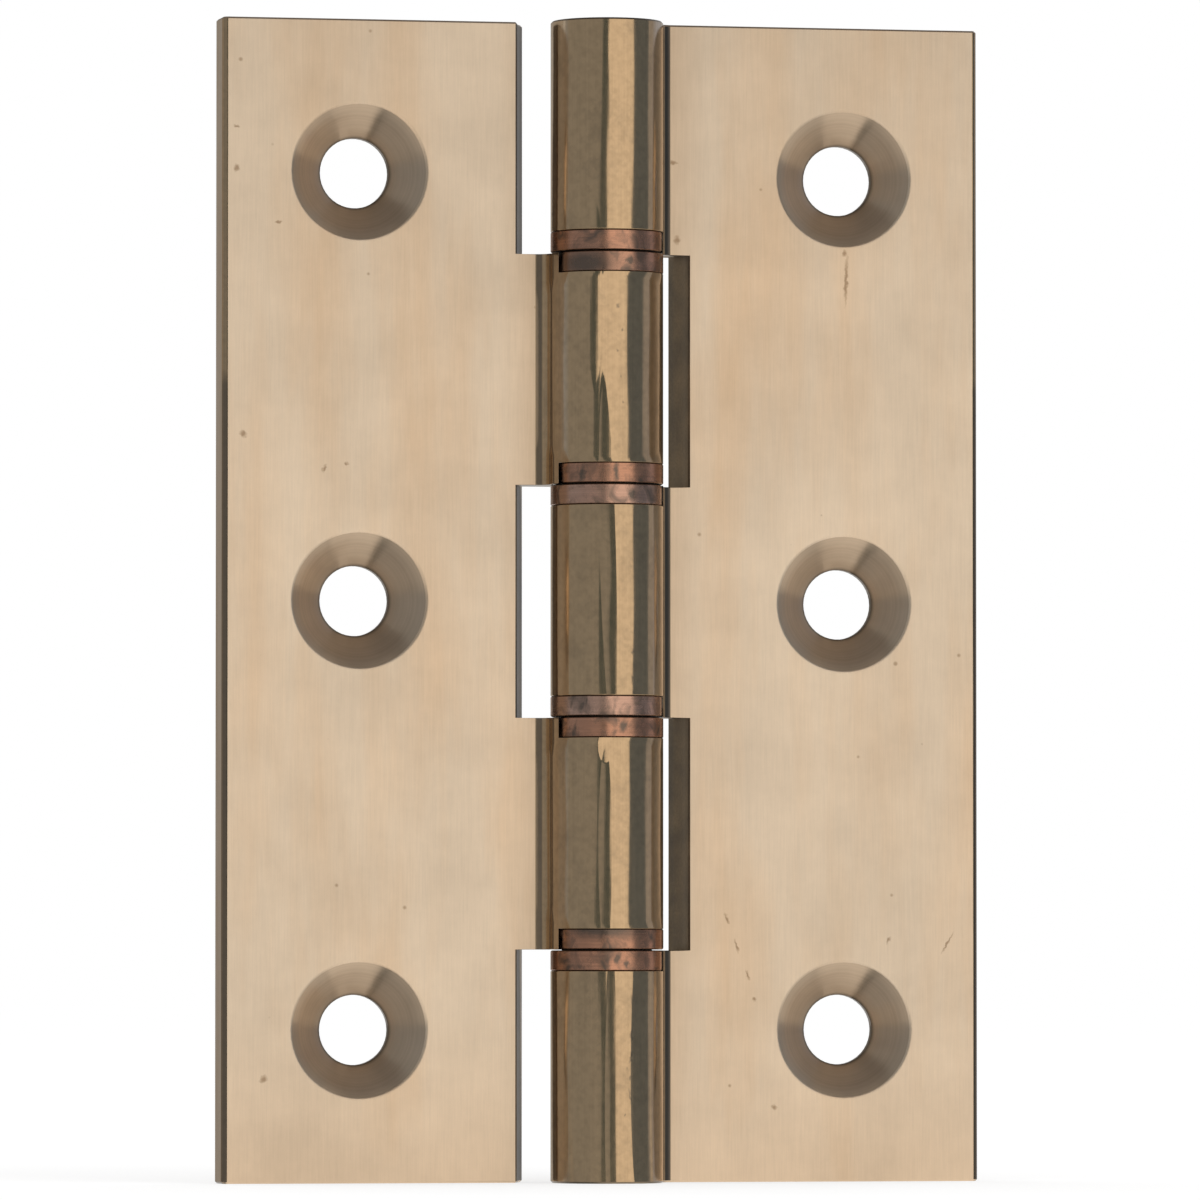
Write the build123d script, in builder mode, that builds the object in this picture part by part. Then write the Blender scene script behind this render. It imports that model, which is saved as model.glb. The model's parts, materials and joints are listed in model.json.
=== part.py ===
from build123d import *

import os
from math import isclose, sqrt

# Butt hinge of drawn brass with a pair of bronze washers at every knuckle joint, laid open flat.
# Sizes are in millimetres. The pin stands on the Z axis with its middle at the origin.
# The frame leaf lies towards +X, the door leaf towards -X, and the countersunk side faces -Y.

# Leaves
hinge_length = 76.2
open_width = 50.8
leaf_thickness = 2.5
arris_radius = 0.4
edge_break = 0.12

# Barrel
barrel_diameter = 7.4
knuckle_count = 5
joint_gap = 0.06
root_fillet = 1.0

# Clearance scoops that let the other leaf's knuckles turn
scoop_clearance = 2.1
scoop_set_back = 0.55

# Washers
washer_thickness = 1.35
washer_edge_break = 0.08
washer_key_depth = 0.4
washer_key_clearance = 0.2
washer_seat_clearance = 0.15

# Pin
pin_diameter = 4.0
pin_running_clearance = 0.05
pin_end_recess = 0.15
pin_end_chamfer = 0.3

# Screw holes
screws_per_leaf = 3
screw_hole_diameter = 4.6
countersink_diameter = 9.1
countersink_angle = 100
rim_break_angle = 135
screw_end_distance = 10.0
screw_edge_distance = 9.1

# Sizes that follow from those above
barrel_radius = barrel_diameter / 2
pin_radius = pin_diameter / 2
leaf_reach = open_width / 2
leaf_back = barrel_radius
leaf_front = leaf_back - leaf_thickness
half_length = hinge_length / 2
knuckle_pitch = hinge_length / knuckle_count
scoop_radius = barrel_radius + scoop_clearance
washer_flat = barrel_radius - washer_key_depth
washer_seat_radius = barrel_radius + washer_seat_clearance
washer_seat_flat = washer_flat + washer_key_clearance
running_bore_radius = pin_radius + pin_running_clearance
hole_radius = screw_hole_diameter / 2
countersink_radius = countersink_diameter / 2
broken_rim_radius = countersink_radius + edge_break
screw_pitch = (hinge_length - 2 * screw_end_distance) / (screws_per_leaf - 1)
screw_reach = leaf_reach - screw_edge_distance

# Sides of the pin on which the two leaves lie
FRAME_SIDE = 1
DOOR_SIDE = -1

# Knuckles are counted from the top. The frame leaf has the first, third and so on.
frame_knuckles = range(0, knuckle_count, 2)
door_knuckles = range(1, knuckle_count, 2)
joint_heights = [half_length - knuckle_pitch * number for number in range(1, knuckle_count)]


def knuckle_span(number):
    """Lowest and highest point of a knuckle, drawn back by half the running gap at each joint."""
    top = half_length - knuckle_pitch * number
    bottom = top - knuckle_pitch
    if number > 0:
        top -= joint_gap / 2
    if number < knuckle_count - 1:
        bottom += joint_gap / 2
    return bottom, top


def leaf_side(number):
    """Side of the pin on which a knuckle's leaf lies."""
    return FRAME_SIDE if number in frame_knuckles else DOOR_SIDE


def joint_ends(number):
    """Ends of a knuckle that meet another knuckle, each with the direction it faces."""
    bottom, top = knuckle_span(number)
    ends = []
    if number > 0:
        ends.append((top, 1))
    if number < knuckle_count - 1:
        ends.append((bottom, -1))
    return ends


def drawn_section(side):
    """Section of the drawn bar: a flat web tangent to the barrel's back, with a root fillet in front."""
    fillet_y = leaf_front - root_fillet
    fillet_x = sqrt((barrel_radius + root_fillet) ** 2 - fillet_y**2)
    barrel_share = barrel_radius / (barrel_radius + root_fillet)
    fillet_on_barrel = (fillet_x * barrel_share, fillet_y * barrel_share)
    fillet_on_web = (fillet_x, leaf_front)
    arris_on_edge = (leaf_reach, leaf_front + arris_radius)
    arris_on_web = (leaf_reach - arris_radius, leaf_front)
    with BuildSketch() as section:
        with BuildLine():
            Polyline((0, leaf_back), (leaf_reach, leaf_back), arris_on_edge)
            RadiusArc(arris_on_edge, arris_on_web, arris_radius)
            Line(arris_on_web, fillet_on_web)
            RadiusArc(fillet_on_web, fillet_on_barrel, -root_fillet)
            ThreePointArc(fillet_on_barrel, (-barrel_radius, 0), (0, leaf_back))
        make_face()
        if side == DOOR_SIDE:
            mirror(about=Plane.YZ, mode=Mode.REPLACE)
    return section.sketch


def clearance_cutter(number):
    """Round cutter that frees a leaf from one of the other leaf's knuckles."""
    bottom, top = knuckle_span(number)
    low = bottom - joint_gap
    high = top + joint_gap
    if number == 0:
        high = top + scoop_radius
    if number == knuckle_count - 1:
        low = bottom - scoop_radius
    with BuildPart(Plane.XY.offset(low)) as cutter:
        with Locations((0, scoop_set_back)):
            Cylinder(scoop_radius, high - low, align=(Align.CENTER, Align.CENTER, Align.MIN))
    return cutter.part


def keyed_disc(radius, flat, side):
    """Disc about the pin with a flat towards its own leaf, which keeps a washer from turning in its seat."""
    with BuildSketch() as disc:
        Circle(radius)
        with Locations((side * (flat + radius / 2), 0)):
            Rectangle(radius, 2 * radius, mode=Mode.SUBTRACT)
    return disc.sketch


def washer_seat(height, facing, side):
    """Recess sunk into a knuckle's end, as deep as the washer that it takes."""
    with BuildPart() as seat:
        with BuildSketch(Plane.XY.offset(height - facing * washer_thickness)):
            add(keyed_disc(washer_seat_radius, washer_seat_flat, side))
        extrude(amount=facing * (washer_thickness + joint_gap))
    return seat.part


def sharp_edges(leaf):
    """Edges that the maker breaks: the outlines of both ends and the upright sides of the scoops."""
    by_height = leaf.faces().sort_by(Axis.Z)
    ends = by_height[0].outer_wire().edges() + by_height[-1].outer_wire().edges()
    round_walls = leaf.faces().filter_by(GeomType.CYLINDER)
    scoops = round_walls.filter_by(lambda wall: isclose(wall.radius, scoop_radius))
    return ends + scoops.edges().filter_by(Axis.Z)


def make_leaf(side, own_knuckles, other_knuckles, bore_radius):
    """One leaf with its knuckles: drawn section, clearance scoops, washer seats, pin bore and screw holes."""
    with BuildPart() as leaf:
        extrude(drawn_section(side), amount=half_length, both=True)
        for number in other_knuckles:
            add(clearance_cutter(number), mode=Mode.SUBTRACT)
        for number in own_knuckles:
            for height, facing in joint_ends(number):
                add(washer_seat(height, facing, side), mode=Mode.SUBTRACT)
        Cylinder(bore_radius, hinge_length, mode=Mode.SUBTRACT)
        chamfer(sharp_edges(leaf), edge_break)
        face_of_leaf = Plane((side * screw_reach, leaf_front, 0), x_dir=(1, 0, 0), z_dir=(0, -1, 0))
        with Locations(face_of_leaf):
            with GridLocations(screw_pitch, screw_pitch, 1, screws_per_leaf):
                CounterSinkHole(hole_radius, countersink_radius, counter_sink_angle=countersink_angle)
                CounterSinkHole(hole_radius, broken_rim_radius, counter_sink_angle=rim_break_angle)
    return leaf


def make_pin():
    """Plain round pin, a little shorter than the barrel, with chamfered ends."""
    with BuildPart() as pin:
        Cylinder(pin_radius, hinge_length - 2 * pin_end_recess)
        chamfer(pin.edges().filter_by(GeomType.CIRCLE), pin_end_chamfer)
    return pin


def make_washer(height, facing, side):
    """Flat bearing ring that fills its seat, flush with the knuckle's end at the given height."""
    with BuildPart() as washer:
        with BuildSketch(Plane.XY.offset(height)):
            add(keyed_disc(barrel_radius, washer_flat, side))
            Circle(running_bore_radius, mode=Mode.SUBTRACT)
        extrude(amount=-facing * washer_thickness)
        ends = washer.faces().filter_by(Axis.Z)
        rims = ends[0].outer_wire().edges() + ends[-1].outer_wire().edges()
        chamfer(rims, washer_edge_break)
    return washer


# Pieces by name
pieces = {
    "frame_leaf": make_leaf(FRAME_SIDE, frame_knuckles, door_knuckles, pin_radius),
    "door_leaf": make_leaf(DOOR_SIDE, door_knuckles, frame_knuckles, running_bore_radius),
    "hinge_pin": make_pin(),
}
for joint, height in enumerate(joint_heights, start=1):
    pieces[f"washer_{joint}_upper"] = make_washer(height + joint_gap / 2, -1, leaf_side(joint - 1))
    pieces[f"washer_{joint}_lower"] = make_washer(height - joint_gap / 2, 1, leaf_side(joint))

# One file for each piece
os.makedirs("parts", exist_ok=True)
for name, piece in pieces.items():
    piece.part.label = name
    export_step(piece.part, f"parts/{name}.step")
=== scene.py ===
"""Drawn brass butt hinge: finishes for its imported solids, and a plain white stage to show it on."""

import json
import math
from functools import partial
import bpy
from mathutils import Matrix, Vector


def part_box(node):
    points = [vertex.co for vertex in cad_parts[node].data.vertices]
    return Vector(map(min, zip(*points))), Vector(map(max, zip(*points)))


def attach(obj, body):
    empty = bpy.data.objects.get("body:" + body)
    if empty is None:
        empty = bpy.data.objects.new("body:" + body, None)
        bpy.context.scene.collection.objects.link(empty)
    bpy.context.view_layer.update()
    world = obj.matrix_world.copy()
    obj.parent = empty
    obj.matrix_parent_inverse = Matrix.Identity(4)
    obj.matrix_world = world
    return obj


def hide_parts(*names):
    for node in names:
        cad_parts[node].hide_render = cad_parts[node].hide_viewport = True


bl_info = {
    "name": "Brass Butt Hinge",
    "version": (1, 0, 0),
    "blender": (4, 5, 0),
    "location": "View3D > Sidebar > Hinge",
    "description": "Finishes the leaves, washers and pin of a drawn brass butt hinge and sets its stage",
    "category": "Object",
}

import bmesh
import bpy
from bpy.props import FloatProperty, FloatVectorProperty, PointerProperty
from mathutils import Vector

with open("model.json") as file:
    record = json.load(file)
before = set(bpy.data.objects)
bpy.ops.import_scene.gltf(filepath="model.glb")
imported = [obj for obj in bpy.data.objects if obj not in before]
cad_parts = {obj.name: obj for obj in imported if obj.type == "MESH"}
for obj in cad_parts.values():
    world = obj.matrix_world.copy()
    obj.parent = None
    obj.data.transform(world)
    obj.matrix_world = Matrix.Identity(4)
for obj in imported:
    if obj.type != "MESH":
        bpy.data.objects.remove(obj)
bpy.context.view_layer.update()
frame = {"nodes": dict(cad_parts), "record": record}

MM = 0.001

# Sizes read from the frame, in metres
leaf_low, leaf_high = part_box("frame_leaf")
LEAF_REACH = leaf_high.x
LEAF_BACK = leaf_high.y
BARREL_RADIUS = -leaf_low.y
HALF_LENGTH = leaf_high.z
PIN_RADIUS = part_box("hinge_pin")[1].x
mounts = {mount["name"]: mount for mount in frame["record"]["mounts"]}
HOLE_REACH = mounts["frame_leaf_middle_screw"]["pos_m"][0]
HOLE_RADIUS = mounts["frame_leaf_middle_screw"]["dims"]["r_mm"] * MM
HOLE_PITCH = mounts["frame_leaf_end_screws"]["dims"]["spacing_y_mm"] / 2 * MM
washer_names = sorted(name for name in frame["nodes"] if name.startswith("washer"))
washer_low, washer_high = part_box(washer_names[0])
WASHER_HEIGHT = washer_high.z - washer_low.z
JOINT_COUNT = len(washer_names) // 2
JOINT_PITCH = 2 * HALF_LENGTH / (JOINT_COUNT + 1)

# The body that each node moves with
bodies = frame["record"]["behaviour"]["bodies"]
BODY_OF = {name: body for body, names in bodies.items() for name in names}

# Places on the drawn section: about the level of the leaf fronts, the middle of the darker line in the
# root, where the flat web begins beside the root, and how far out the root's warmer colour and painted
# shade reach
FRONT_LEVEL = LEAF_BACK / 3
ROOT = (4.33 * MM, 1.12 * MM, 0)
ROOT_EDGE = 4.7 * MM
ROOT_FADE = 7 * MM

# How far left of the barrel's front the painted paler flanks are centred
PALE_FLANK_SHIFT = 0.28 * MM

# Leaf finishes, in the order of the material slots
SATIN, POLISHED, TURNED, CUT = range(4)

# Sizes that tell the faces of a leaf apart: how near counts as on a flat or on the barrel,
# how far the countersinks and their broken rims reach, and how wide the rounded arris is
NEAR_FLAT = 0.02 * MM
NEAR_BARREL = 0.05 * MM
CONE_REACH = 1.9 * HOLE_RADIUS
RIM_REACH = 2.2 * HOLE_RADIUS
ARRIS_WIDTH = 0.45 * MM

# How much of a face's direction lies along an axis, for the face to be square to it or only slanted
SQUARE = 0.99
NEARLY_SQUARE = 0.9
HALF_TURNED = 0.5
SLANTED = 0.3

# Welding and edges: points closer than this are one, faces flatter than this are joined up,
# edges sharper than the next stay crisp, and outer edges sharper than the last are eased
WELD = 0.001 * MM
LEVEL = math.radians(0.1)
CORNER = math.radians(40)
EASED_CORNER = math.radians(48)

# Rings of old oil: how much of the gap stays free on each side, and how much of the barrel they reach
OIL_SPARE = 0.1
OIL_REACH = 0.8

# Ragged outlines of pits and stains
RAG_SIZE = 0.3 * MM
RAG_SHIFT = 0.4 * MM

# Stage: half the floor's side in metres, and degrees for each flat of a bent card
FLOOR_REACH = 6.0
CARD_STEP = 3

# Pits and scratches on the front of the leaves, in millimetres:
# where across and up, half width, half height, and tilt in degrees
FRONT_MARKS = (
    (16.45, 21.4, 0.13, 1.7, 2),
    (16.35, 23.2, 0.2, 0.25, 0),
    (-24.5, 30.9, 0.22, 0.12, 20),
    (-24.5, 28.2, 0.2, 0.25, 0),
    (-21.75, 24.7, 0.26, 0.1, 5),
    (-24.05, 10.8, 0.3, 0.22, 30),
    (-18.65, 8.6, 0.12, 0.34, 25),
    (-17.2, 8.9, 0.18, 0.12, 0),
    (-22.65, -31.3, 0.24, 0.3, 40),
    (8.35, -20.8, 0.1, 0.42, -20),
    (9.0, -22.6, 0.09, 0.5, -22),
    (9.75, -24.5, 0.1, 0.36, -18),
    (10.2, -26.1, 0.14, 0.14, 0),
    (11.55, -33.2, 0.2, 0.16, 0),
    (19.3, -22.2, 0.11, 0.3, 35),
    (23.3, -22.4, 0.09, 0.8, 30),
    (4.75, 29.0, 0.28, 0.14, 0),
    (5.0, 23.9, 0.22, 0.3, 10),
)

# Black stains on the front of the washers, given in the same way
WASHER_STAINS = (
    (-2.4, 22.0, 2.8, 1.3, 0),
    (-1.2, -21.5, 4.0, 0.8, 4),
    (-2.3, 8.2, 0.3, 0.9, 8),
    (0.75, 22.2, 0.35, 0.35, 30),
    (0.9, 6.9, 0.4, 0.5, 0),
    (-0.2, 8.3, 0.22, 0.9, 0),
    (0.3, -8.3, 0.35, 0.5, 20),
    (-0.1, -23.4, 0.3, 0.5, 15),
    (0.5, -23.8, 0.2, 0.4, -10),
)

# Pits along the front of the barrel, given in the same way
BARREL_PITS = (
    (0.86, -26.2, 0.1, 0.5, 0),
    (0.82, -28.4, 0.12, 0.5, 0),
    (0.8, -29.9, 0.1, 0.45, 5),
    (0.74, -31.2, 0.09, 0.25, 0),
    (0.76, -32.4, 0.1, 0.6, -4),
    (0.5, -30.6, 0.07, 0.1, 0),
    (0.42, -33.6, 0.06, 0.1, 0),
    (0.95, -3.4, 0.08, 0.3, 0),
    (0.9, -5.2, 0.09, 0.4, 0),
    (-0.1, 19.2, 0.12, 0.16, 0),
    (0.2, 17.6, 0.08, 0.1, 0),
    (-0.15, 16.3, 0.1, 0.12, 0),
    (0.15, 14.6, 0.08, 0.12, 0),
    (0.3, 12.9, 0.07, 0.1, 0),
)

# Facets that the polishing left on the barrel, given in the same way,
# with the angle in degrees that each is turned by about the pin
BARREL_FACETS = (
    (0.0, 15.24, 9.0, 6.6, 0, 7.0),
    (-1.55, 20.0, 0.5, 6.5, 0, 3.5),
    (-0.7, 2.6, 0.55, 12.6, -1.5, -9.0),
    (0.0, -15.24, 9.0, 6.6, 0, 4.4),
    (-0.88, -16.5, 0.46, 7.5, 0, -7.5),
    (-0.9, -9.5, 0.5, 1.25, 0, 7.5),
    (-0.5, -33.0, 0.44, 11.0, 0, -8.8),
    (1.3, -31.0, 0.55, 8.0, 0, 4.0),
)

# Settings of the nodes that mix two colours, and of those that make a colour lighter or darker
TINT = {"data_type": "RGBA"}
SHADE = {"data_type": "RGBA", "blend_type": "MULTIPLY"}


def linear(hex_colour):
    """Scene-linear colour of an sRGB hex value."""
    channels = [int(hex_colour[place:place + 2], 16) / 255 for place in (0, 2, 4)]
    return [c / 12.92 if c <= 0.04045 else ((c + 0.055) / 1.055) ** 2.4 for c in channels]


def opaque(colour):
    """The colour with a full alpha, as a colour socket takes it."""
    return (*colour, 1.0)


def cell_scale(*sizes):
    """Scale along X, Y and Z of a pattern whose cells have these sizes in millimetres."""
    return [1 / (size * MM) for size in sizes]


class HingeFinish(bpy.types.PropertyGroup):
    """Colours and surface sizes of the hinge's metals."""

    # The satin colour is also painted on the flanks of the polished barrel, as painted light
    satin_brass: FloatVectorProperty(
        name="Satin brass",
        description="Colour of the linished leaf faces",
        subtype="COLOR",
        default=linear("DDC6AA"),
    )
    warm_brass: FloatVectorProperty(
        name="Warm brass",
        description="Colour of the leaf faces where they have turned",
        subtype="COLOR",
        default=linear("D9B48C"),
    )
    polished_brass: FloatVectorProperty(
        name="Polished brass",
        description="Colour of the polished barrel and edges",
        subtype="COLOR",
        default=linear("C9A880"),
    )
    turned_brass: FloatVectorProperty(
        name="Turned brass",
        description="Colour of the countersinks",
        subtype="COLOR",
        default=linear("C0A98F"),
    )
    milled_brass: FloatVectorProperty(
        name="Milled brass",
        description="Colour of the scoops and the sawn ends",
        subtype="COLOR",
        default=linear("8E7C64"),
    )
    # The tarnish colour also paints a dark reflection on the lower front arrises
    tarnish: FloatVectorProperty(
        name="Tarnish",
        description="Colour of the dark film in pits, corners and seats",
        subtype="COLOR",
        default=linear("625A50"),
    )
    stain: FloatVectorProperty(
        name="Stain",
        description="Colour of the specks and pits on the leaf faces",
        subtype="COLOR",
        default=linear("80603F"),
    )
    bronze: FloatVectorProperty(
        name="Phosphor bronze",
        description="Colour of the bearing washers",
        subtype="COLOR",
        default=linear("C58763"),
    )
    pale_bronze: FloatVectorProperty(
        name="Pale bronze",
        description="Colour of the bearing washers where they are rubbed clean",
        subtype="COLOR",
        default=linear("CFAA94"),
    )
    steel: FloatVectorProperty(
        name="Bright steel",
        description="Colour of the pin's ends",
        subtype="COLOR",
        default=linear("C4BFB8"),
    )
    oil: FloatVectorProperty(
        name="Dried oil",
        description="Colour of the old oil between the washers",
        subtype="COLOR",
        default=linear("1B1815"),
    )
    edge_ease: FloatProperty(
        name="Edge ease",
        description="How far the sharp edges are eased",
        unit="LENGTH",
        default=0.05 * MM,
    )

    # Real grain and turning marks are a few hundredths of a millimetre wide, too fine to show,
    # so these are drawn coarser
    grain_width: FloatProperty(
        name="Grain width",
        description="Width of one line of the linished grain",
        unit="LENGTH",
        default=0.09 * MM,
    )
    grain_length: FloatProperty(
        name="Grain length",
        description="Length of one line of the linished grain",
        unit="LENGTH",
        default=3 * MM,
    )
    ring_spacing: FloatProperty(
        name="Ring spacing",
        description="Spacing of the turning marks in the countersinks",
        unit="LENGTH",
        default=0.14 * MM,
    )


class HingeStage(bpy.types.PropertyGroup):
    """Where the camera stands and how the studio is laid out."""

    distance: FloatProperty(
        name="Camera distance",
        description="From the lens to the middle of the pin",
        unit="LENGTH",
        default=0.7,
    )
    azimuth: FloatProperty(
        name="Camera azimuth",
        description="How far the camera stands round to the right of the hinge's front",
        subtype="ANGLE",
        default=math.radians(-12.4),
    )
    elevation: FloatProperty(
        name="Camera elevation",
        description="How far the camera stands above the middle of the hinge",
        subtype="ANGLE",
        default=math.radians(-2.07),
    )
    lens: FloatProperty(
        name="Lens",
        description="Focal length for a 36 mm sensor",
        unit="CAMERA",
        default=320.1,
    )
    aim: FloatVectorProperty(
        name="Aim",
        description="Point that the lens aims at, right of and above the middle of the pin",
        size=2,
        unit="LENGTH",
        default=(-0.453 * MM, 0.085 * MM),
    )
    card_radius: FloatProperty(
        name="Card radius",
        description="From the pin to the cards that stand round the hinge",
        unit="LENGTH",
        default=1.1,
    )
    card_foot: FloatProperty(
        name="Card foot",
        description="How far those cards reach below the middle of the hinge",
        unit="LENGTH",
        default=0.12,
    )
    card_head: FloatProperty(
        name="Card head",
        description="How far those cards reach above the middle of the hinge",
        unit="LENGTH",
        default=1.0,
    )


def node(tree, kind, inputs=(), **settings):
    """Adds a node with its settings.

    Inputs come by name or in order: a node or a socket is linked, and a value is set.
    """
    made = tree.nodes.new(kind)
    for name, value in settings.items():
        setattr(made, name, value)
    for key, value in inputs.items() if isinstance(inputs, dict) else enumerate(inputs):
        if isinstance(value, bpy.types.Node):
            value = next(socket for socket in value.outputs if socket.enabled)
        if isinstance(value, bpy.types.NodeSocket):
            tree.links.new(value, made.inputs[key])
        else:
            made.inputs[key].default_value = value
    return made


def new_material(name):
    """An empty material, and the function that adds its nodes."""
    material = bpy.data.materials.new(name)
    material.use_nodes = True
    material.node_tree.nodes.clear()
    return material, partial(node, material.node_tree)


def finish_metal(add, colour, roughness, normal, **values):
    """Ends a metal's nodes with its shader and output."""
    inputs = {"Base Color": colour, "Metallic": 1.0, "Roughness": roughness, "Normal": normal}
    metal = add("ShaderNodeBsdfPrincipled", {**inputs, **values})
    add("ShaderNodeOutputMaterial", {"Surface": metal})


def lines(add, place, width, length):
    """Upright lines of the given width and length, as the drawing die and the linishing belt leave them."""
    along = add("ShaderNodeMapping", {"Vector": place, "Scale": (1 / width, 1 / width, 1 / length)})
    return add("ShaderNodeTexNoise", {"Vector": along, "Scale": 1.0, "Detail": 3.0, "Roughness": 0.6})


def reach_of(add, place, mark, level, depth):
    """How far a point lies from the middle of a mark, which ends at 1.

    The middle is on the surface at this level along Y, and the mark reaches this deep.
    """
    across, up, half_width, half_height, tilt = mark
    own = add(
        "ShaderNodeMapping",
        {
            "Vector": place,
            "Location": (across * MM, level, up * MM),
            "Rotation": (0, math.radians(tilt), 0),
            "Scale": (half_width * MM, depth, half_height * MM),
        },
        vector_type="TEXTURE",
    )
    return add("ShaderNodeVectorMath", (own,), operation="LENGTH").outputs["Value"]


def spots(add, place, marks, level, depth):
    """Mask of the listed marks, with ragged outlines, on the surface that lies at this level along Y."""
    ragged = add("ShaderNodeTexNoise", {"Vector": place, "Scale": 1 / RAG_SIZE, "Detail": 3.0})
    middle = add("ShaderNodeVectorMath", (ragged.outputs["Color"], (0.5, 0.5, 0.5)), operation="SUBTRACT")
    shift = add("ShaderNodeVectorMath", {0: middle, "Scale": RAG_SHIFT}, operation="SCALE")
    loose = add("ShaderNodeVectorMath", (place, shift), operation="ADD")
    reaches = [reach_of(add, loose, mark, level, depth) for mark in marks]
    nearest = reaches[0]
    for reach in reaches[1:]:
        nearest = add("ShaderNodeMath", (reach, nearest), operation="MINIMUM")
    return add("ShaderNodeMapRange", (nearest, 0.35, 1.15, 1.0, 0.0))


def polished_facets(add, place):
    """The surface's own direction, turned about the pin where the polishing left a facet on the barrel."""
    turn = 0.0
    for *mark, angle in BARREL_FACETS:
        reach = reach_of(add, place, mark, -BARREL_RADIUS, 4 * BARREL_RADIUS)
        own = add("ShaderNodeMapRange", (reach, 0.9, 1.0, math.radians(angle), 0.0))
        turn = add("ShaderNodeMath", (own, turn), operation="ADD")
    normal = add("ShaderNodeNewGeometry").outputs["Normal"]
    return add("ShaderNodeVectorRotate", {"Vector": normal, "Angle": turn}, rotation_type="Z_AXIS")


def satin_brass(finish):
    """Drawn brass, linished along its length.

    It has a soft even sheen with a fine upright grain, warmer bands and small brown pits.
    """
    material, add = new_material("brass_drawn_linished")
    place = add("ShaderNodeTexCoord").outputs["Object"]
    parts = add("ShaderNodeSeparateXYZ", {"Vector": place})
    up = parts.outputs["Z"]
    across = add("ShaderNodeMath", (parts.outputs["X"],), operation="ABSOLUTE")

    # It is warmer in bands, beside the roots and towards the foot
    bands = lines(add, place, 5 * MM, 34 * MM)
    warm = add("ShaderNodeMapRange", (bands, 0.45, 0.75, 0.0, 0.6))
    near_root = add("ShaderNodeMapRange", (across, ROOT_EDGE, ROOT_FADE, 0.35, 0.0))
    near_foot = add("ShaderNodeMapRange", (up, -HALF_LENGTH, -0.7 * HALF_LENGTH, 0.35, 0.0))
    at_edges = add("ShaderNodeMath", (near_root, near_foot), operation="MAXIMUM")
    warmer = add("ShaderNodeMath", (warm, at_edges), operation="MAXIMUM")
    colours = {"A": opaque(finish.satin_brass), "B": opaque(finish.warm_brass)}
    tint = add("ShaderNodeMix", {"Factor": warmer, **colours}, **TINT)

    # It is lighter and darker along the grain and in clouds, and painted shade darkens it beside the roots
    # and at the top
    grain = lines(add, place, finish.grain_width, finish.grain_length)
    cloud = {"Scale": 1 / (8 * MM), "Detail": 6.0, "Roughness": 0.65}
    blotches = add("ShaderNodeTexNoise", {"Vector": place, **cloud})
    fine = add("ShaderNodeMapRange", (grain, 0.25, 0.75, 0.96, 1.035))
    cloudy = add("ShaderNodeMapRange", (blotches, 0.3, 0.7, 0.915, 1.085))
    clouds = add("ShaderNodeMath", (fine, cloudy), operation="MULTIPLY")
    # Painted shade: the web is darker beside the barrel and towards the top
    painted_root_shade = add("ShaderNodeMapRange", (across, ROOT_EDGE, ROOT_FADE, 0.92, 1.0))
    painted_top_shade = add("ShaderNodeMapRange", (up, 0.3 * HALF_LENGTH, HALF_LENGTH, 1.0, 0.91))
    painted_shade = add("ShaderNodeMath", (painted_top_shade, painted_root_shade), operation="MULTIPLY")
    shade = add("ShaderNodeMath", (clouds, painted_shade), operation="MULTIPLY")
    face = add("ShaderNodeMix", {"Factor": 1.0, "A": tint, "B": shade}, **SHADE)

    # Specks of different sizes lie all over it, besides the listed pits and scratches
    cells = add("ShaderNodeTexVoronoi", {"Vector": place, "Scale": 1 / (2.2 * MM)})
    chosen = add("ShaderNodeSeparateColor", {"Color": cells.outputs["Color"]})
    size = add("ShaderNodeMapRange", (chosen.outputs["Red"], 0.45, 1.0, 0.0, 0.085))
    fill = add("ShaderNodeMath", (size, cells.outputs["Distance"]), operation="SUBTRACT")
    specks = add("ShaderNodeMapRange", (fill, 0.0, 0.05, 0.0, 0.5))
    listed = spots(add, place, FRONT_MARKS, FRONT_LEVEL, MM)
    marks = add("ShaderNodeMath", (listed, 0.62), operation="MULTIPLY")
    pits = add("ShaderNodeMath", (marks, specks), operation="MAXIMUM")
    colour = add("ShaderNodeMix", {"Factor": pits, "A": face, "B": opaque(finish.stain)}, **TINT)

    roughness = add("ShaderNodeMapRange", (grain, 0.25, 0.75, 0.34, 0.29))
    scored = add("ShaderNodeBump", {"Strength": 0.12, "Distance": 0.01 * MM, "Height": grain})
    sunk = {"Strength": 0.4, "Distance": 0.04 * MM, "Height": pits}
    pitted = add("ShaderNodeBump", {**sunk, "Normal": scored}, invert=True)
    finish_metal(add, colour, roughness, pitted, Anisotropic=0.4)
    return material


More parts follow.
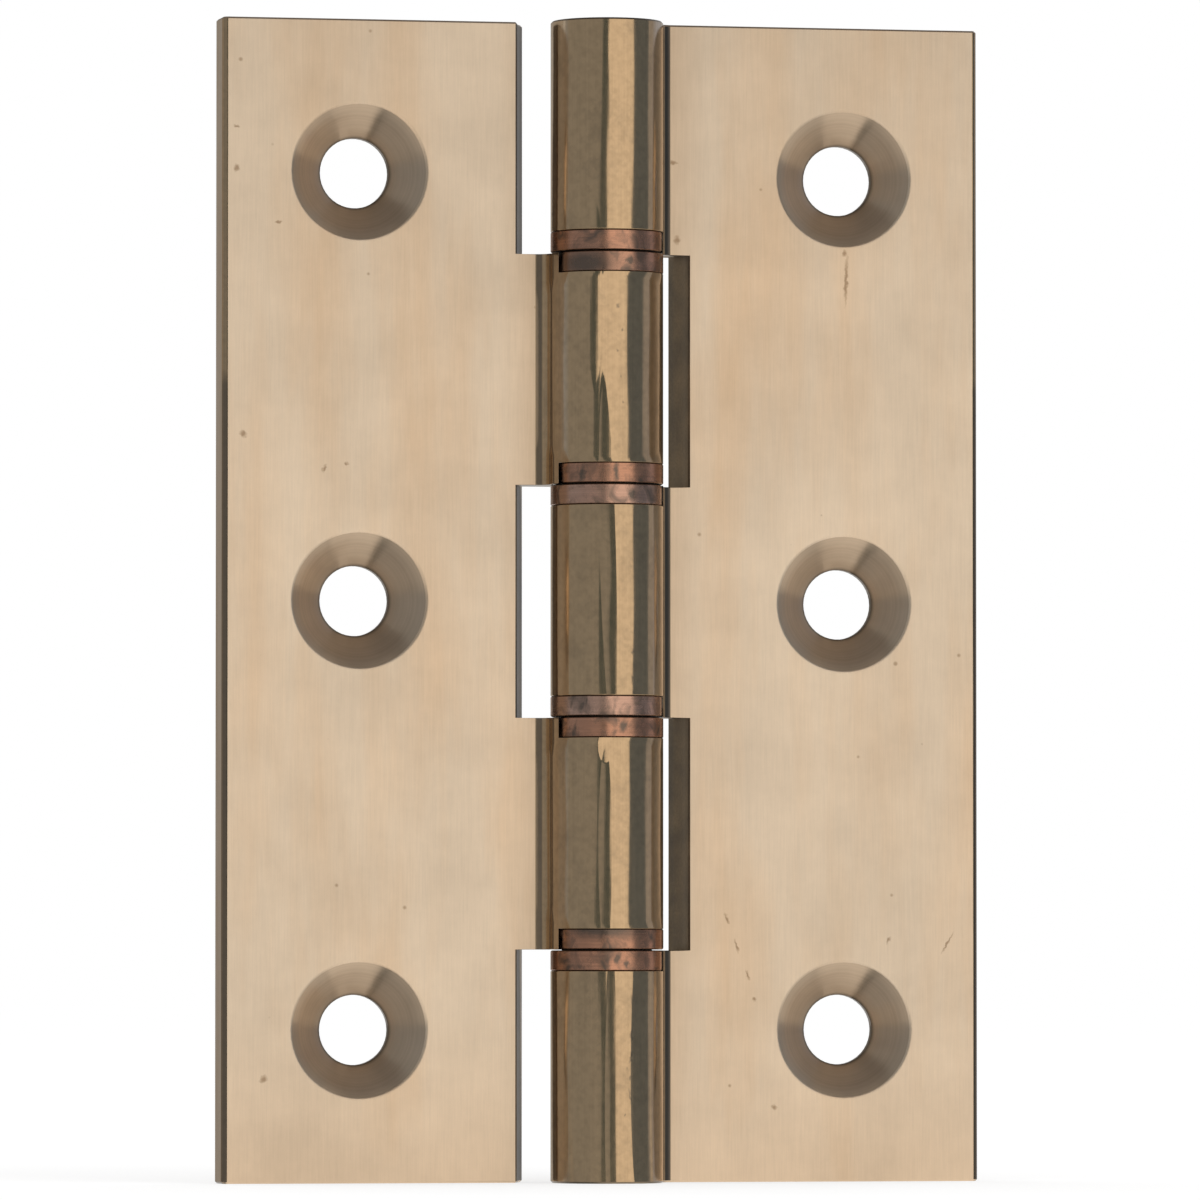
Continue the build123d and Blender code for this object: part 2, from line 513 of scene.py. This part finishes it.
def polished_brass(finish):
    """Drawn brass, polished by hand along the barrel.

    It has a clear wavy gloss in facets, faint draw lines and dark roots.
    """
    material, add = new_material("brass_drawn_polished")
    place = add("ShaderNodeTexCoord").outputs["Object"]
    parts = add("ShaderNodeSeparateXYZ", {"Vector": place})
    across = add("ShaderNodeMath", (parts.outputs["X"],), operation="ABSOLUTE")

    # Painted light: the flanks of the barrel take the paler satin colour, centred a little to the left,
    # which lightens their reflections
    aside = add("ShaderNodeMath", (parts.outputs["X"], PALE_FLANK_SHIFT), operation="ADD")
    from_flank_middle = add("ShaderNodeMath", (aside,), operation="ABSOLUTE")
    beside = add("ShaderNodeMapRange", (from_flank_middle, 2.72 * MM, 3.1 * MM, 0.0, 0.9))
    barrel = add("ShaderNodeMath", (across, BARREL_RADIUS + NEAR_BARREL), operation="LESS_THAN")
    painted_pale_flank = add("ShaderNodeMath", (beside, barrel), operation="MULTIPLY")
    colours = {"A": opaque(finish.polished_brass), "B": opaque(finish.satin_brass)}
    tint = add("ShaderNodeMix", {"Factor": painted_pale_flank, **colours}, **TINT)

    # Draw lines are drawn coarser than real ones, which are too fine to show
    draw = lines(add, place, 0.13 * MM, 16 * MM)
    specks = add("ShaderNodeTexNoise", {"Vector": place, "Scale": 1 / (0.45 * MM), "Detail": 3.0})
    drawn = add("ShaderNodeMapRange", (draw, 0.3, 0.7, 0.95, 1.04))
    mottled = add("ShaderNodeMapRange", (specks, 0.3, 0.6, 0.9, 1.03))
    shade = add("ShaderNodeMath", (drawn, mottled), operation="MULTIPLY")
    bright = add("ShaderNodeMix", {"Factor": 1.0, "A": tint, "B": shade}, **SHADE)

    # Dirt lies in patches and in pits; the roots and the outer edges are darker, and lower down the front
    # arrises carry a painted dark reflection
    patchy = {"Scale": 1 / (3 * MM), "Detail": 7.0, "Roughness": 0.75}
    film = add("ShaderNodeTexNoise", {"Vector": place, **patchy})
    patches = add("ShaderNodeMapRange", (film, 0.5, 0.75, 0.0, 0.3))
    section = add("ShaderNodeCombineXYZ", {"X": across, "Y": parts.outputs["Y"]})
    root = add("ShaderNodeVectorMath", (section, ROOT), operation="DISTANCE").outputs["Value"]
    root_strength = add("ShaderNodeMapRange", (parts.outputs["X"], -MM, MM, 0.75, 0.97))
    in_root = add("ShaderNodeMapRange", (root, 0.18 * MM, 0.28 * MM, root_strength, 0.0))
    # Painted dark reflection: tarnish on the front arrises of the outer edges, stronger below about 14 mm
    # above the middle
    corner = (LEAF_REACH, FRONT_LEVEL, 0)
    arris = add("ShaderNodeVectorMath", (section, corner), operation="DISTANCE").outputs["Value"]
    on_arris = add("ShaderNodeMapRange", (arris, 0.3 * MM, 0.42 * MM, 1.0, 0.0))
    low = add("ShaderNodeMapRange", (parts.outputs["Z"], 15 * MM, 14 * MM, 0.25, 0.75))
    painted_arris_reflection = add("ShaderNodeMath", (on_arris, low), operation="MULTIPLY")
    along = add("ShaderNodeMath", (in_root, painted_arris_reflection), operation="MAXIMUM")
    edge_from, edge_to = LEAF_REACH - 0.1 * MM, LEAF_REACH - 0.02 * MM
    on_edge = add("ShaderNodeMapRange", (across, edge_from, edge_to, 0.0, 0.3))
    dulled = add("ShaderNodeMath", (patches, on_edge), operation="MAXIMUM")
    blend_mask = add("ShaderNodeMath", (along, dulled), operation="MAXIMUM")
    pits = spots(add, place, BARREL_PITS, -BARREL_RADIUS, BARREL_RADIUS)
    pitted = add("ShaderNodeMath", (pits, 0.55), operation="MULTIPLY")
    darkening = add("ShaderNodeMath", (blend_mask, pitted), operation="MAXIMUM")
    colour = add("ShaderNodeMix", {"Factor": darkening, "A": bright, "B": opaque(finish.tarnish)}, **TINT)

    # The wheel can't reach into the roots, so they stay duller
    gloss = add("ShaderNodeMapRange", (film, 0.3, 0.75, 0.08, 0.18))
    unpolished = add("ShaderNodeMapRange", (root, 0.45 * MM, 0.8 * MM, 0.3, 0.0))
    roughness = add("ShaderNodeMath", (gloss, unpolished), operation="MAXIMUM")

    # The facets carry long shallow waves, and the waves carry the draw lines
    waves = add("ShaderNodeMapping", {"Vector": place, "Scale": cell_scale(2.6, 2.6, 11)})
    wavy = add("ShaderNodeTexNoise", {"Vector": waves, "Scale": 1.0, "Detail": 1.0})
    facets = polished_facets(add, place)
    rolled = {"Strength": 1.0, "Distance": 0.1 * MM, "Height": wavy}
    rolling = add("ShaderNodeBump", {**rolled, "Normal": facets})
    ridged = {"Strength": 0.25, "Distance": 0.01 * MM, "Height": draw}
    scored = add("ShaderNodeBump", {**ridged, "Normal": rolling})
    finish_metal(add, colour, roughness, scored)
    return material


def turned_brass(finish):
    """Brass turned by the countersink.

    It has fine rings round each hole, dull from the film that stays in them and dark at both rims.
    """
    material, add = new_material("brass_turned")
    place = add("ShaderNodeTexCoord").outputs["Object"]
    parts = add("ShaderNodeSeparateXYZ", {"Vector": place})

    # Every point takes its place from the axis of its own hole
    reach = add("ShaderNodeMath", (parts.outputs["X"],), operation="ABSOLUTE")
    offset = add("ShaderNodeMath", (reach, HOLE_REACH), operation="SUBTRACT")
    side = add("ShaderNodeMath", (parts.outputs["X"],), operation="SIGN")
    across = add("ShaderNodeMath", (offset, side), operation="MULTIPLY")
    up = add("ShaderNodeMath", (parts.outputs["Z"], HOLE_PITCH / 2, -HOLE_PITCH / 2), operation="WRAP")
    outwards = add("ShaderNodeCombineXYZ", {"X": across, "Z": up})
    radius = add("ShaderNodeVectorMath", (outwards,), operation="LENGTH").outputs["Value"]

    turns = add("ShaderNodeMath", (radius, finish.ring_spacing), operation="DIVIDE")
    rings = add("ShaderNodeTexNoise", {"W": turns, "Scale": 1.0, "Detail": 2.0}, noise_dimensions="1D")
    film = add("ShaderNodeTexNoise", {"Vector": place, "Scale": 1 / (2.5 * MM), "Detail": 4.0})
    ringed = add("ShaderNodeMapRange", (rings, 0.3, 0.7, 0.96, 1.04))
    filmed = add("ShaderNodeMapRange", (film, 0.3, 0.7, 0.94, 1.05))
    uneven = add("ShaderNodeMath", (ringed, filmed), operation="MULTIPLY")
    # Painted light: the left side of each countersink is lighter, by up to a quarter
    painted_left_light = add("ShaderNodeMapRange", (across, -1.6 * HOLE_RADIUS, -0.6 * HOLE_RADIUS, 1.25, 1.0))
    shade = add("ShaderNodeMath", (uneven, painted_left_light), operation="MULTIPLY")
    turned = add("ShaderNodeMix", {"Factor": 1.0, "A": opaque(finish.turned_brass), "B": shade}, **SHADE)
    at_hole = add("ShaderNodeMapRange", (radius, HOLE_RADIUS, HOLE_RADIUS + 0.18 * MM, 0.85, 0.0))
    at_rim = add("ShaderNodeMapRange", (radius, 1.92 * HOLE_RADIUS, 1.97 * HOLE_RADIUS, 0.0, 0.6))
    darkening = add("ShaderNodeMath", (at_hole, at_rim), operation="MAXIMUM")
    colour = add("ShaderNodeMix", {"Factor": darkening, "A": turned, "B": opaque(finish.tarnish)}, **TINT)
    ridged = add("ShaderNodeBump", {"Strength": 0.2, "Distance": 0.012 * MM, "Height": rings})
    finish_metal(add, colour, 0.3, ridged, Anisotropic=0.85, Tangent=outwards)
    return material


def cut_brass(finish):
    """Brass left from the saw and the milling cutter: dull and brown, with straight cutter marks."""
    material, add = new_material("brass_milled")
    place = add("ShaderNodeTexCoord").outputs["Object"]

    # Cutter marks are drawn coarser than real ones, which are too fine to show
    along = add("ShaderNodeMapping", {"Vector": place, "Scale": cell_scale(5, 0.18, 0.18)})
    marks = add("ShaderNodeTexNoise", {"Vector": along, "Scale": 1.0, "Detail": 3.0})
    film = add("ShaderNodeTexNoise", {"Vector": place, "Scale": 1 / (2 * MM), "Detail": 5.0})
    shade = add("ShaderNodeMapRange", (marks, 0.3, 0.7, 0.88, 1.08))
    cut = add("ShaderNodeMix", {"Factor": 1.0, "A": opaque(finish.milled_brass), "B": shade}, **SHADE)
    darkening = add("ShaderNodeMapRange", (film, 0.3, 0.75, 0.1, 0.75))
    colour = add("ShaderNodeMix", {"Factor": darkening, "A": cut, "B": opaque(finish.tarnish)}, **TINT)
    scored = add("ShaderNodeBump", {"Strength": 0.4, "Distance": 0.02 * MM, "Height": marks})
    finish_metal(add, colour, 0.34, scored)
    return material


def turned_bronze(finish):
    """Phosphor bronze, turned bright and then tarnished.

    It is orange to pink where it is rubbed, and brown to black elsewhere.
    """
    material, add = new_material("phosphor_bronze_turned")
    place = add("ShaderNodeTexCoord").outputs["Object"]
    parts = add("ShaderNodeSeparateXYZ", {"Vector": place})

    # The pairs beside the middle knuckle are rubbed paler than the others
    rub = add("ShaderNodeTexNoise", {"Vector": place, "Scale": 1 / (9 * MM), "Detail": 2.0})
    blend_mask = add("ShaderNodeMapRange", (rub, 0.35, 0.6, 0.6, 1.0))
    height = add("ShaderNodeMath", (parts.outputs["Z"],), operation="ABSOLUTE")
    pale_to, dark_from = JOINT_PITCH / 2 - 0.1 * MM, JOINT_PITCH / 2 + 0.1 * MM
    inner = add("ShaderNodeMapRange", (height, pale_to, dark_from, 1.0, 0.4))
    pale = add("ShaderNodeMath", (inner, blend_mask), operation="MULTIPLY")
    colours = {"A": opaque(finish.bronze), "B": opaque(finish.pale_bronze)}
    metal = add("ShaderNodeMix", {"Factor": pale, **colours}, **TINT)

    # Turning marks are drawn coarser than real ones, which are too fine to show
    turning = add("ShaderNodeMapping", {"Vector": place, "Scale": cell_scale(4, 4, 0.09)})
    marks = add("ShaderNodeTexNoise", {"Vector": turning, "Scale": 1.0, "Detail": 2.0})
    shade = add("ShaderNodeMapRange", (marks, 0.3, 0.7, 0.88, 1.08))
    rubbed = add("ShaderNodeMix", {"Factor": 1.0, "A": metal, "B": shade}, **SHADE)

    # Tarnish lies in patches, in the listed stains and along both edges
    spread = add("ShaderNodeMapping", {"Vector": place, "Scale": cell_scale(1.2, 1.2, 1.5)})
    patchy = {"Scale": 1.0, "Detail": 5.0, "Roughness": 0.6, "Distortion": 0.8}
    film = add("ShaderNodeTexNoise", {"Vector": spread, **patchy})
    patches = add("ShaderNodeMapRange", (film, 0.45, 0.68, 0.0, 0.85))
    stains = spots(add, place, WASHER_STAINS, -BARREL_RADIUS, BARREL_RADIUS)
    stained = add("ShaderNodeMath", (stains, 0.86), operation="MULTIPLY")
    marked = add("ShaderNodeMath", (patches, stained), operation="MAXIMUM")
    shifted = add("ShaderNodeMath", (parts.outputs["Z"], JOINT_PITCH / 2), operation="SUBTRACT")
    offset = add("ShaderNodeMath", (shifted, JOINT_PITCH / 2, -JOINT_PITCH / 2), operation="WRAP")
    from_joint = add("ShaderNodeMath", (offset,), operation="ABSOLUTE")
    at_joint = add("ShaderNodeMapRange", (from_joint, 0.06 * MM, 0.12 * MM, 0.95, 0.0))
    at_seat = add("ShaderNodeMapRange", (from_joint, WASHER_HEIGHT - 0.08 * MM, WASHER_HEIGHT, 0.0, 0.7))
    edges = add("ShaderNodeMath", (at_joint, at_seat), operation="MAXIMUM")
    darkening = add("ShaderNodeMath", (marked, edges), operation="MAXIMUM")
    colour = add("ShaderNodeMix", {"Factor": darkening, "A": rubbed, "B": opaque(finish.tarnish)}, **TINT)

    roughness = add("ShaderNodeMapRange", (film, 0.3, 0.7, 0.2, 0.34))
    scored = add("ShaderNodeBump", {"Strength": 0.3, "Distance": 0.012 * MM, "Height": marks})
    finish_metal(add, colour, roughness, scored)
    return material


def drawn_steel(finish):
    """Bright drawn steel, faced at the ends: fine rings and a little grey film."""
    material, add = new_material("steel_bright_drawn")
    place = add("ShaderNodeTexCoord").outputs["Object"]
    parts = add("ShaderNodeSeparateXYZ", {"Vector": place})
    outwards = add("ShaderNodeCombineXYZ", {"X": parts.outputs["X"], "Y": parts.outputs["Y"]})
    radius = add("ShaderNodeVectorMath", (outwards,), operation="LENGTH").outputs["Value"]

    # The rings are drawn coarser than real ones, which are too fine to show
    turns = add("ShaderNodeMath", (radius, 0.12 * MM), operation="DIVIDE")
    rings = add("ShaderNodeTexNoise", {"W": turns, "Scale": 1.0, "Detail": 2.0}, noise_dimensions="1D")
    shade = add("ShaderNodeMapRange", (rings, 0.3, 0.7, 0.8, 1.05))
    colour = add("ShaderNodeMix", {"Factor": 1.0, "A": opaque(finish.steel), "B": shade}, **SHADE)
    ridged = add("ShaderNodeBump", {"Strength": 0.3, "Distance": 0.015 * MM, "Height": rings})
    finish_metal(add, colour, 0.28, ridged)
    return material


def dried_oil(finish):
    """Old oil, dried between the washers: nearly black, with a dull uneven gloss."""
    material, add = new_material("oil_dried")
    place = add("ShaderNodeTexCoord").outputs["Object"]
    grit = add("ShaderNodeTexNoise", {"Vector": place, "Scale": 1 / (0.2 * MM), "Detail": 3.0})
    shade = add("ShaderNodeMapRange", (grit, 0.3, 0.7, 0.6, 1.3))
    colour = add("ShaderNodeMix", {"Factor": 1.0, "A": opaque(finish.oil), "B": shade}, **SHADE)
    roughness = add("ShaderNodeMapRange", (grit, 0.3, 0.7, 0.4, 0.7))
    oily = add("ShaderNodeBsdfPrincipled", {"Base Color": colour, "Roughness": roughness, "IOR": 1.47})
    add("ShaderNodeOutputMaterial", {"Surface": oily})
    return material


def merged_copy(name):
    """A node's shape as one welded mesh, with the triangles of its flat faces joined up."""
    mesh = bmesh.new()
    mesh.from_mesh(frame["nodes"][name].data)
    bmesh.ops.remove_doubles(mesh, verts=mesh.verts, dist=WELD)
    bmesh.ops.dissolve_limit(
        mesh,
        angle_limit=LEVEL,
        use_dissolve_boundaries=False,
        verts=mesh.verts,
        edges=mesh.edges,
    )
    mesh.normal_update()
    for edge in mesh.edges:
        edge.smooth = edge.calc_face_angle(0.0) < CORNER
    return mesh


def ease_edges(mesh, width):
    """Rounds the sharp outer edges, and leaves those that the solid already breaks."""
    sharp = [edge for edge in mesh.edges if edge.is_convex and edge.calc_face_angle() > EASED_CORNER]
    eased = bmesh.ops.bevel(
        mesh,
        geom=sharp,
        offset=width,
        affect="EDGES",
        segments=2,
        profile=0.5,
        material=-1,
        clamp_overlap=True,
    )
    for face in eased["faces"]:
        for edge in face.edges:
            edge.smooth = True


def stand_for(name, mesh, materials):
    """Makes the welded mesh a piece that stands for its node and moves with the node's body."""
    data = bpy.data.meshes.new(f"{name}_finished")
    for face in mesh.faces:
        face.smooth = True
    mesh.to_mesh(data)
    mesh.free()

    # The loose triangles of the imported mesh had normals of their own, which don't suit the welded one
    if "custom_normal" in data.attributes:
        data.attributes.remove(data.attributes["custom_normal"])
    for material in materials:
        data.materials.append(material)
    piece = bpy.data.objects.new(f"{name}_finished", data)
    bpy.context.scene.collection.objects.link(piece)
    weigh = piece.modifiers.new("flat_faces_lead", "WEIGHTED_NORMAL")
    weigh.mode = "FACE_AREA"
    weigh.keep_sharp = True
    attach(piece, BODY_OF[name])
    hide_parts(name)


def from_hole(point):
    """Distance of a point from the axis of the nearest screw hole."""
    nearest = min(abs(point.z - height) for height in (-HOLE_PITCH, 0, HOLE_PITCH))
    return math.hypot(abs(point.x) - HOLE_REACH, nearest)


def leaf_finish(face, front):
    """The finish that a face of a leaf gets, from where it lies on the drawn section."""
    middle = face.calc_center_median()
    normal = face.normal
    on_front = abs(middle.y - front) < NEAR_FLAT and normal.y < -SQUARE
    on_back = abs(middle.y - LEAF_BACK) < NEAR_FLAT and normal.y > SQUARE
    if on_front or on_back:
        return SATIN
    if from_hole(middle) < CONE_REACH:
        return TURNED

    # The breaks round the countersinks and along the ends are linished with the front
    by_hole = from_hole(middle) < RIM_REACH
    by_end = SLANTED < abs(normal.z) < NEARLY_SQUARE and abs(middle.x) > BARREL_RADIUS
    if normal.y < -SLANTED and (by_hole or by_end):
        return SATIN
    from_pin = math.hypot(middle.x, middle.y)
    outward = normal.x * middle.x + normal.y * middle.y > 0
    on_barrel = abs(from_pin - BARREL_RADIUS) < NEAR_BARREL and outward
    in_root = middle.y < front and from_pin > BARREL_RADIUS
    on_edge = abs(middle.x) > LEAF_REACH - ARRIS_WIDTH
    if abs(normal.z) < HALF_TURNED and (on_barrel or in_root or on_edge):
        return POLISHED
    return CUT


class HINGE_OT_leaves(bpy.types.Operator):
    """Finish both leaves: linished faces, polished barrel and edges, turned countersinks, milled ends"""

    bl_idname = "hinge.leaves"
    bl_label = "Leaves"

    def execute(self, context):
        finish = context.scene.hinge_finish
        metals = [make(finish) for make in (satin_brass, polished_brass, turned_brass, cut_brass)]
        for name in ("frame_leaf", "door_leaf"):
            mesh = merged_copy(name)
            fronts = [face for face in mesh.faces if face.normal.y < -SQUARE]
            front = max(fronts, key=lambda face: face.calc_area()).calc_center_median().y
            for face in mesh.faces:
                face.material_index = leaf_finish(face, front)
            ease_edges(mesh, finish.edge_ease)
            stand_for(name, mesh, metals)
        return {"FINISHED"}


class HINGE_OT_washers(bpy.types.Operator):
    """Finish the bearing washers"""

    bl_idname = "hinge.washers"
    bl_label = "Washers"

    def execute(self, context):
        bronze = turned_bronze(context.scene.hinge_finish)
        for name in washer_names:
            stand_for(name, merged_copy(name), [bronze])
        return {"FINISHED"}


def ring_of_oil(bottom, top):
    """A thin ring round the pin, in the gap between the two washers of a joint."""
    spare = OIL_SPARE * (top - bottom)
    inner = PIN_RADIUS + spare
    outer = OIL_REACH * BARREL_RADIUS
    low = bottom + spare
    high = top - spare
    section = ((inner, low), (outer, low), (outer, high), (inner, high))
    mesh = bmesh.new()
    corners = [mesh.verts.new((radius, 0, height)) for radius, height in section]
    sides = [mesh.edges.new((corners[place - 1], corners[place])) for place in range(len(corners))]
    bmesh.ops.spin(
        mesh,
        geom=[*corners, *sides],
        cent=(0, 0, 0),
        axis=(0, 0, 1),
        angle=math.tau,
        steps=72,
        use_merge=True,
    )
    bmesh.ops.recalc_face_normals(mesh, faces=mesh.faces)
    return mesh


class HINGE_OT_oil(bpy.types.Operator):
    """Lay a ring of old oil between the washers of each joint"""

    bl_idname = "hinge.oil"
    bl_label = "Old oil"

    def execute(self, context):
        oil = dried_oil(context.scene.hinge_finish)
        for joint in range(1, JOINT_COUNT + 1):
            upper = f"washer_{joint}_upper"
            lower = f"washer_{joint}_lower"
            mesh = ring_of_oil(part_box(lower)[1].z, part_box(upper)[0].z)
            data = bpy.data.meshes.new(f"joint_{joint}_oil")
            mesh.to_mesh(data)
            mesh.free()
            data.materials.append(oil)
            ring = bpy.data.objects.new(f"joint_{joint}_oil", data)
            context.scene.collection.objects.link(ring)
            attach(ring, BODY_OF[upper])
        return {"FINISHED"}


class HINGE_OT_pin(bpy.types.Operator):
    """Finish the pin"""

    bl_idname = "hinge.pin"
    bl_label = "Pin"

    def execute(self, context):
        steel = drawn_steel(context.scene.hinge_finish)
        stand_for("hinge_pin", merged_copy("hinge_pin"), [steel])
        return {"FINISHED"}


def add_stage(name, mesh, material):
    """Makes the mesh a stage object with one material."""
    data = bpy.data.meshes.new(name)
    mesh.to_mesh(data)
    mesh.free()
    data.materials.append(material)
    made = bpy.data.objects.new(name, data)
    bpy.context.scene.collection.objects.link(made)
    return made


def lit_paper(name, colour):
    """Paper as bright as the studio lights it."""
    material, add = new_material(name)
    glow = add("ShaderNodeEmission", {"Color": opaque(colour), "Strength": 1.0})
    add("ShaderNodeOutputMaterial", {"Surface": glow})
    return material


def sweep_card(name, ends, axis, sweep, colour):
    """A card that an edge sweeps out about an axis through the origin, left only to what mirrors it."""
    mesh = bmesh.new()
    corners = [mesh.verts.new(end) for end in ends]
    edge = mesh.edges.new(corners)
    bmesh.ops.spin(
        mesh,
        geom=[edge, *corners],
        cent=(0, 0, 0),
        axis=axis,
        angle=math.radians(sweep),
        steps=max(2, round(abs(sweep) / CARD_STEP)),
        use_merge=False,
    )
    card = add_stage(name, mesh, lit_paper(f"card_{name}", linear(colour)))
    card.visible_camera = False
    card.visible_diffuse = False
    card.visible_shadow = False


def add_wall(name, inner, outer, start, end, colour):
    """A card round the pin from one azimuth to another, between two points given by radius and height."""
    turn = math.radians(start)
    across = Vector((math.sin(turn), -math.cos(turn), 0))
    ends = [across * radius + Vector((0, 0, height)) for radius, height in (inner, outer)]
    sweep_card(name, ends, (0, 0, 1), end - start, colour)


def add_trough(name, radius, start, end, colour):
    """A card below the hinge, bent about the Y axis between two angles from straight down."""
    turn = math.radians(start)
    below = Vector((math.sin(turn), 0, -math.cos(turn))) * radius
    ends = [below + Vector((0, reach, 0)) for reach in (-radius, radius)]
    sweep_card(name, ends, (0, 1, 0), start - end, colour)


def light_path_white(add, white, other):
    """Mixes in the white shader for the rays that see the background.

    Those are the rays from the camera, off metal and through glass.
    """
    path = add("ShaderNodeLightPath")
    seen = path.outputs["Is Camera Ray"]
    for ray in ("Is Glossy Ray", "Is Transmission Ray"):
        seen = add("ShaderNodeMath", {0: seen, 1: path.outputs[ray]}, operation="MAXIMUM")
    return add("ShaderNodeMixShader", {0: seen, 1: other, 2: white})


def white_world():
    """A white surround: full white where it is seen, and a plain level as light."""
    world = bpy.data.worlds.new("white_studio")
    world.use_nodes = True
    world.node_tree.nodes.clear()
    add = partial(node, world.node_tree)
    white = add("ShaderNodeBackground", {"Color": (1, 1, 1, 1), "Strength": 1.0})
    fill = add("ShaderNodeBackground", {"Color": (1, 1, 1, 1), "Strength": 1.0})
    add("ShaderNodeOutputWorld", {"Surface": light_path_white(add, white, fill)})
    bpy.context.scene.world = world


def floor_paper():
    """White paper: it shows as white, and keeps the soft shadow of what stands on it."""
    material, add = new_material("paper_white_matt")
    matt = add("ShaderNodeBsdfDiffuse", {"Color": opaque(linear("FFFFFF"))})
    glow = add("ShaderNodeEmission", {"Color": (1, 1, 1, 1), "Strength": 1.0})
    shown = add("ShaderNodeMixShader", {0: 0.6, 1: matt, 2: glow})
    add("ShaderNodeOutputMaterial", {"Surface": light_path_white(add, shown, matt)})
    return material


class HINGE_OT_stage(bpy.types.Operator):
    """Set the floor, the cards, the lamp, the white surround and the camera"""

    bl_idname = "hinge.stage"
    bl_label = "Stage"

    def execute(self, context):
        stage = context.scene.hinge_stage
        context.scene.view_settings.view_transform = "Standard"
        white_world()
        self.add_floor()
        self.add_cards(stage)
        self.add_lamp(context)
        self.add_camera(context, stage)
        return {"FINISHED"}

    def add_floor(self):
        """A wide sheet of white paper under the hinge."""
        mesh = bmesh.new()
        bmesh.ops.create_grid(mesh, x_segments=1, y_segments=1, size=FLOOR_REACH)
        bmesh.ops.translate(mesh, verts=mesh.verts, vec=(0, 0, -HALF_LENGTH))
        floor = add_stage("floor", mesh, floor_paper())
        floor.visible_glossy = False

    def add_cards(self, stage):
        """Grey cards that the metal mirrors.

        They leave a bright opening in front, and the rest to the white surround.
        """
        radius = stage.card_radius
        foot = (radius, -stage.card_foot)
        head = (radius, stage.card_head)

        # Name, first and last azimuth in degrees, and colour
        walls = (
            ("left_flag", -25, -11, "5F6C74"),
            ("left_wall", -108, -25, "9CA3AC"),
            ("left_gap", -115, -108, "C4C8CC"),
            ("left_back", -190, -115, "A6A199"),
            ("right_flag", 43, 82, "6C7A8B"),
            ("right_wall", 82, 134, "A8AFBE"),
            ("right_back", 134, 170, "B4B8BC"),
        )
        for name, start, end, colour in walls:
            add_wall(name, foot, head, start, end, colour)
        add_wall("ceiling", (0, stage.card_head), head, 0, 360, "76767A")

        # Name, first and last angle from straight down, and colour
        troughs = (
            ("left_side", -88, -18, "A0A3A7"),
            ("left_streak", -18, -9, "4A5358"),
            ("right_side", 36, 88, "D0D2D4"),
        )
        for name, start, end, colour in troughs:
            add_trough(name, radius, start, end, colour)

    def add_lamp(self, context):
        """A large soft lamp from the front right, for the shadow on the floor."""
        light = bpy.data.lights.new("softbox", "AREA")
        light.shape = "RECTANGLE"
        light.size = 0.6
        light.size_y = 0.6
        light.energy = 2.0
        lamp = bpy.data.objects.new("softbox", light)
        lamp.location = (0.4, -0.8, 0.8)
        lamp.rotation_euler = (-lamp.location).to_track_quat("-Z", "Y").to_euler()
        lamp.visible_glossy = False
        context.scene.collection.objects.link(lamp)

    def add_camera(self, context, stage):
        """A long lens in front of the hinge, a little to its left and below its middle."""
        side, rise = stage.azimuth, stage.elevation
        stand = Vector((math.sin(side) * math.cos(rise), -math.cos(side) * math.cos(rise), math.sin(rise)))
        turn = (-stand).to_track_quat("-Z", "Y")
        aim = turn @ Vector((*stage.aim, 0))
        data = bpy.data.cameras.new("camera")
        data.lens = stage.lens
        data.sensor_width = 36
        data.clip_start = 0.01
        camera = bpy.data.objects.new("camera", data)
        camera.location = stand * stage.distance
        camera.rotation_euler = (aim - camera.location).to_track_quat("-Z", "Y").to_euler()
        context.scene.collection.objects.link(camera)
        context.scene.camera = camera


class HINGE_PT_panel(bpy.types.Panel):
    """Lists the hinge's operators and sizes"""

    bl_label = "Butt hinge"
    bl_idname = "HINGE_PT_panel"
    bl_space_type = "VIEW_3D"
    bl_region_type = "UI"
    bl_category = "Hinge"

    def draw(self, context):
        for operator in OPERATORS:
            self.layout.operator(operator.bl_idname)
        for group in (context.scene.hinge_finish, context.scene.hinge_stage):
            box = self.layout.box()
            for name in group.__annotations__:
                box.prop(group, name)


OPERATORS = (HINGE_OT_leaves, HINGE_OT_washers, HINGE_OT_oil, HINGE_OT_pin, HINGE_OT_stage)
CLASSES = (HingeFinish, HingeStage, *OPERATORS, HINGE_PT_panel)


def register():
    for cls in CLASSES:
        bpy.utils.register_class(cls)
    bpy.types.Scene.hinge_finish = PointerProperty(type=HingeFinish)
    bpy.types.Scene.hinge_stage = PointerProperty(type=HingeStage)


def unregister():
    del bpy.types.Scene.hinge_stage
    del bpy.types.Scene.hinge_finish
    for cls in reversed(CLASSES):
        bpy.utils.unregister_class(cls)


def main():
    register()
    bpy.ops.hinge.leaves()
    bpy.ops.hinge.washers()
    bpy.ops.hinge.oil()
    bpy.ops.hinge.pin()
    bpy.ops.hinge.stage()


if __name__ == "__main__":
    main()
